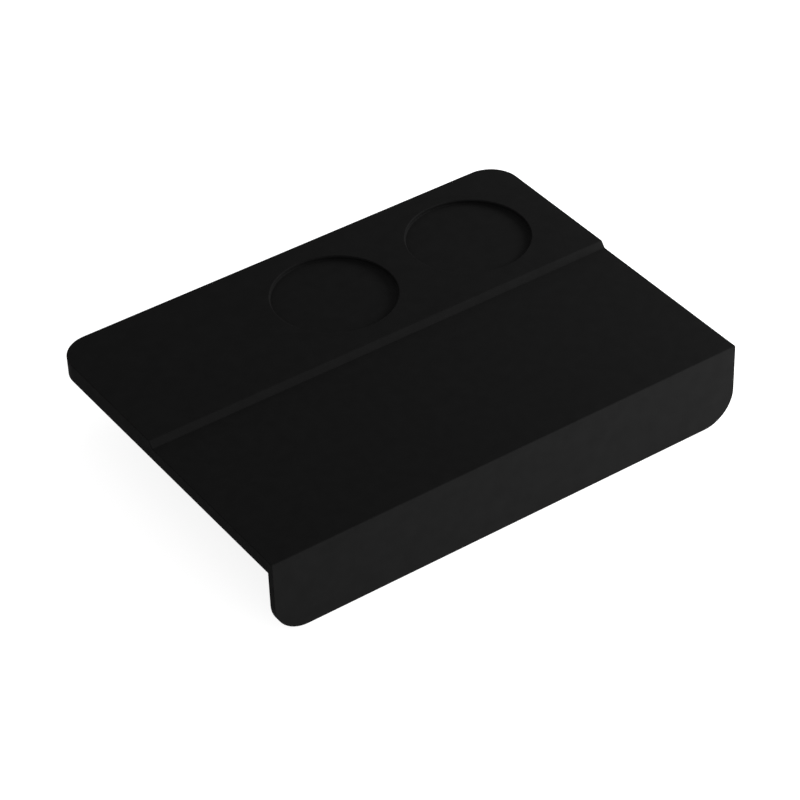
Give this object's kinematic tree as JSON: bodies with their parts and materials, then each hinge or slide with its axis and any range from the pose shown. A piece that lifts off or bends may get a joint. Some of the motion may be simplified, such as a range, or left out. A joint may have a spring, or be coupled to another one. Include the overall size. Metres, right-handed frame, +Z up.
{
  "type": "tamper mat",
  "caption": "L-section silicone mat that hooks over a counter's front edge, with a thin work zone, a sloped step and round sunk seats for coffee tools.",
  "frame": {"origin": "where the counter's top meets its front face, in the middle of the mat's width: on the underside, at the skirt's inner face", "axes": "+X to the right along the counter's edge, +Y back over the counter, +Z up, out of the seats"},
  "size_m": [0.25, 0.1818, 0.0439],
  "materials": {
    "silicone": "matt black silicone with a fine even grain"
  },
  "bodies": {
    "root": {"mat": "silicone"}
  },
  "joints": []
}
